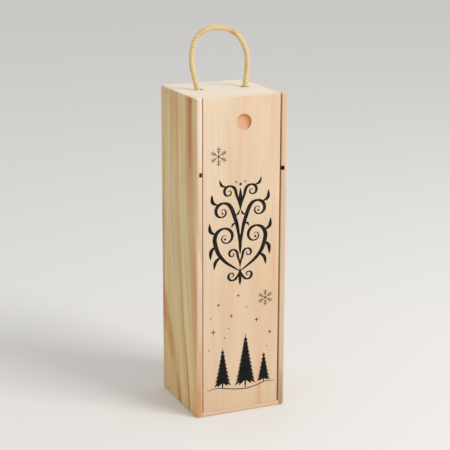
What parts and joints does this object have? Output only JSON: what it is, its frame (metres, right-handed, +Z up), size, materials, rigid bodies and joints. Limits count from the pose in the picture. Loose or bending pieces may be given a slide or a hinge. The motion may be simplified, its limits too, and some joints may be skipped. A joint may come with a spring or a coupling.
{
  "type": "wooden wine box",
  "caption": "Upright single-bottle wine box of thin pine boards, with a sliding front lid, a slotted neck rest inside and a rope handle on top.",
  "frame": {"origin": "middle of the box's footprint, on the surface that it stands on", "axes": "+Z up along the box's height, -Y out of the lid's face, +X to the right of someone who faces the lid"},
  "size_m": [0.105, 0.102, 0.4175],
  "materials": {
    "pine_side": "sanded, unfinished",
    "pine_lid": "sanded, unfinished",
    "pine_end": "sanded, unfinished",
    "pine_panel": "planed, unfinished",
    "brad_steel": "bright drawn wire",
    "rope": "braided cord"
  },
  "bodies": {
    "box": {"left_side": "pine_side", "right_side": "pine_side", "back_panel": "pine_panel", "top_board": "pine_end", "bottom_board": "pine_end", "neck_rest": "pine_panel", "left_brads": "brad_steel", "right_brads": "brad_steel", "rope_leg_left": "rope", "rope_leg_right": "rope", "rope_knot_left": "rope", "rope_knot_right": "rope"},
    "lid": {"lid": "pine_lid"},
    "handle": {"rope_arch": "rope"}
  },
  "joints": [
    {"name": "lid_slide", "type": "slide", "parent": "box", "child": "lid", "axis": [0, 0, 1], "range_m": [0, 0.35]},
    {"name": "handle_tilt", "type": "hinge", "parent": "box", "child": "handle", "pos_m": [0, 0.00415, 0.355], "axis": [-1, 0, 0], "range_deg": [-45, 80], "stiffness_Nm_per_rad": 0.012}
  ]
}
